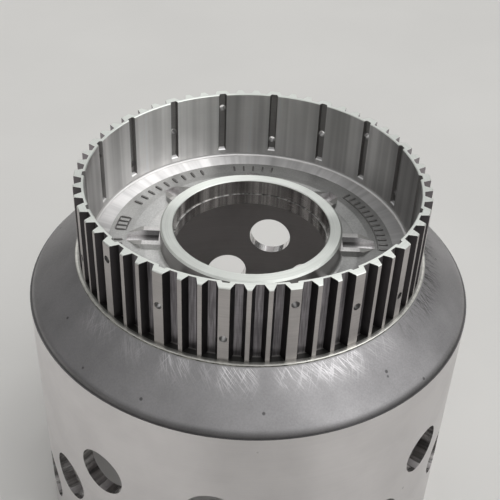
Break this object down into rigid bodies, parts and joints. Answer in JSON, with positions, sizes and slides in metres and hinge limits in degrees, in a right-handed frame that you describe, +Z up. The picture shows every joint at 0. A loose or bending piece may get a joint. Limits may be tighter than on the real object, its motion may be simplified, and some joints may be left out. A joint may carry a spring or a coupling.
{
  "type": "clutch hub",
  "caption": "One-piece aluminium clutch hub: a splined cup with oil grooves and a bearing collar on a conical shoulder, over an open drum drilled with rows of round holes.",
  "frame": {"origin": "centre of the drum's open end, on the face that it stands on", "axes": "+Z up the hub's axis towards the splined rim, +X through the middle of one wide tooth"},
  "size_m": [0.185, 0.185, 0.168],
  "materials": {
    "turned_aluminium": "turned faces bright, cast faces dull grey"
  },
  "bodies": {
    "root": {"clutch_hub": "turned_aluminium"}
  },
  "joints": []
}
